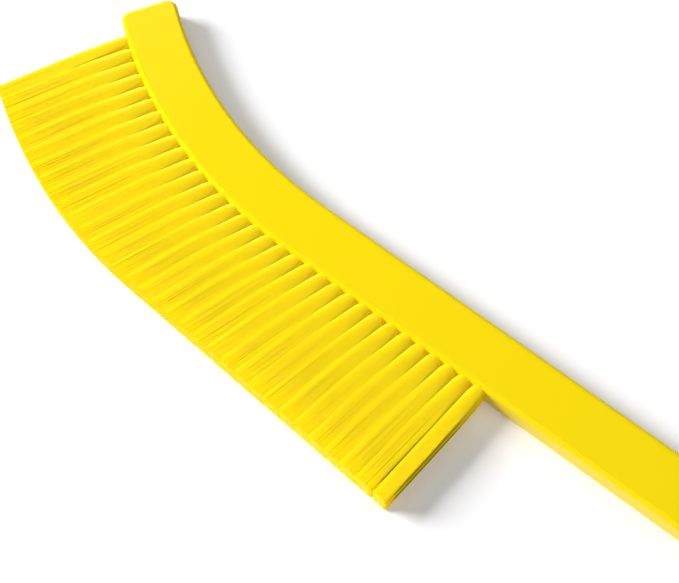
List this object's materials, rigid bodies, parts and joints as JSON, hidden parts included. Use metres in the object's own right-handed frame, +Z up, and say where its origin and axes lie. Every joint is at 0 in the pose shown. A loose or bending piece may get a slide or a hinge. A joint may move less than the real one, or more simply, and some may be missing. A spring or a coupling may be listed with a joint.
{
  "type": "windshield ice scraper",
  "caption": "Long-handled windshield tool: a curved head with a double row of stiff filament tufts at one end and a riveted ice scraper blade at the other.",
  "frame": {"origin": "on the flat rest face, on the handle's centre line, where the curved head meets the straight handle", "axes": "+X along the handle from the brush to the scraper blade, bristles point to -Y, +Z up out of the wide side that faces the viewer"},
  "size_m": [0.5915, 0.1221, 0.012],
  "materials": {
    "handle_plastic": "moulded yellow polypropylene, satin gloss",
    "blade_plastic": "moulded yellow hard plastic, satin gloss",
    "filament": "yellow extruded filament, silky along its length",
    "rivet_steel": "plain stainless steel",
    "anchor_steel": "bright drawn wire"
  },
  "bodies": {
    "root": {"handle": "handle_plastic", "scraper_blade": "blade_plastic", "rivet_1": "rivet_steel", "rivet_2": "rivet_steel", "rivet_3": "rivet_steel", "tuft_01": "filament", "tuft_02": "filament", "tuft_03": "filament", "tuft_04": "filament", "tuft_05": "filament", "tuft_06": "filament", "tuft_07": "filament", "tuft_08": "filament", "tuft_09": "filament", "tuft_10": "filament", "tuft_11": "filament", "tuft_12": "filament", "tuft_13": "filament", "tuft_14": "filament", "tuft_15": "filament", "tuft_16": "filament", "tuft_17": "filament", "tuft_18": "filament", "tuft_19": "filament", "tuft_20": "filament", "tuft_21": "filament", "tuft_22": "filament", "tuft_23": "filament", "tuft_24": "filament", "tuft_25": "filament", "tuft_26": "filament", "tuft_27": "filament", "tuft_28": "filament", "tuft_29": "filament", "tuft_30": "filament", "tuft_31": "filament", "tuft_32": "filament", "tuft_33": "filament", "anchors_upper_row": "anchor_steel", "anchors_lower_row": "anchor_steel"}
  },
  "joints": []
}
